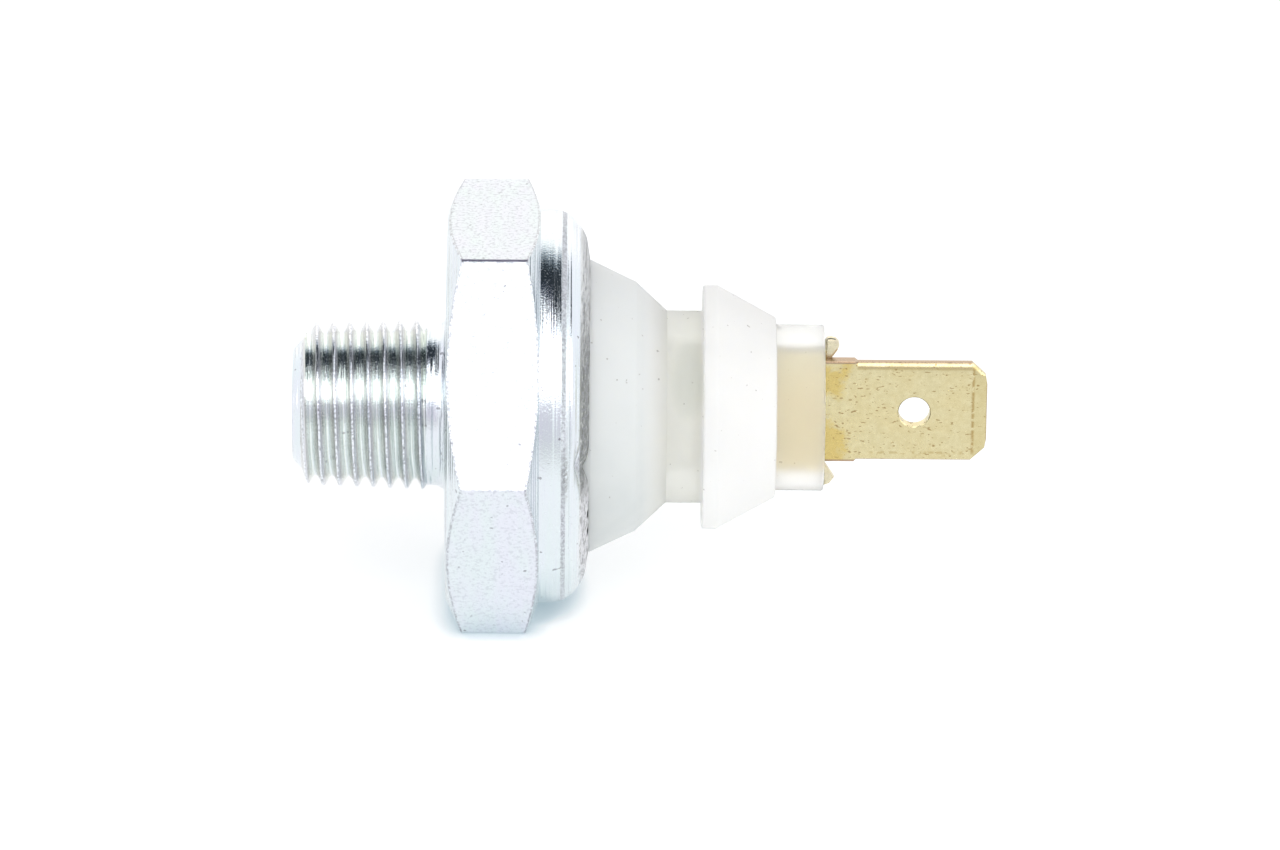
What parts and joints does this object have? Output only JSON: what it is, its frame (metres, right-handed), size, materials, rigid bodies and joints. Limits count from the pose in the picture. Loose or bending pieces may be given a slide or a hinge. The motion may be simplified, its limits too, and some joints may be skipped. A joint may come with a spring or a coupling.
{
  "type": "oil pressure sender",
  "caption": "Screw-in engine oil pressure sender: plated steel hexagon body with a short tapered thread, crimped-in translucent nylon insulator and a flat brass blade terminal.",
  "frame": {"origin": "on the thread's axis, in the plane of the hexagon's seat face", "axes": "+X along the thread's axis from the thread towards the blade's tip; +Z normal to the hexagon's upper flat, so that the sender lies on its lower flat; the blade's broad faces are normal to Y"},
  "size_m": [0.0418, 0.0278, 0.024],
  "materials": {
    "zinc_steel": "bright zinc plating over turned and drawn steel",
    "seal_rubber": "matte",
    "foil": "glossy film",
    "ring_steel": "tinned, satin",
    "pin_plastic": "matte",
    "contact_brass": "satin",
    "spring_steel": "drawn wire",
    "natural_nylon": "translucent, satin moulded",
    "blade_brass": "dull rolled brass with small pits"
  },
  "bodies": {
    "sender": {"steel_body": "zinc_steel", "seal_ring": "seal_rubber", "diaphragm": "foil", "contact_ring": "ring_steel", "contact_spring": "spring_steel", "insulator": "natural_nylon", "terminal_blade": "blade_brass"},
    "contact": {"push_pin": "pin_plastic", "moving_contact": "contact_brass"}
  },
  "joints": [
    {"name": "contact_lift", "type": "slide", "parent": "sender", "child": "contact", "axis": [1, 0, 0], "range_m": [0, 0.00045], "stiffness_N_per_m": 1800, "deforming": ["contact_spring", "diaphragm"]}
  ]
}
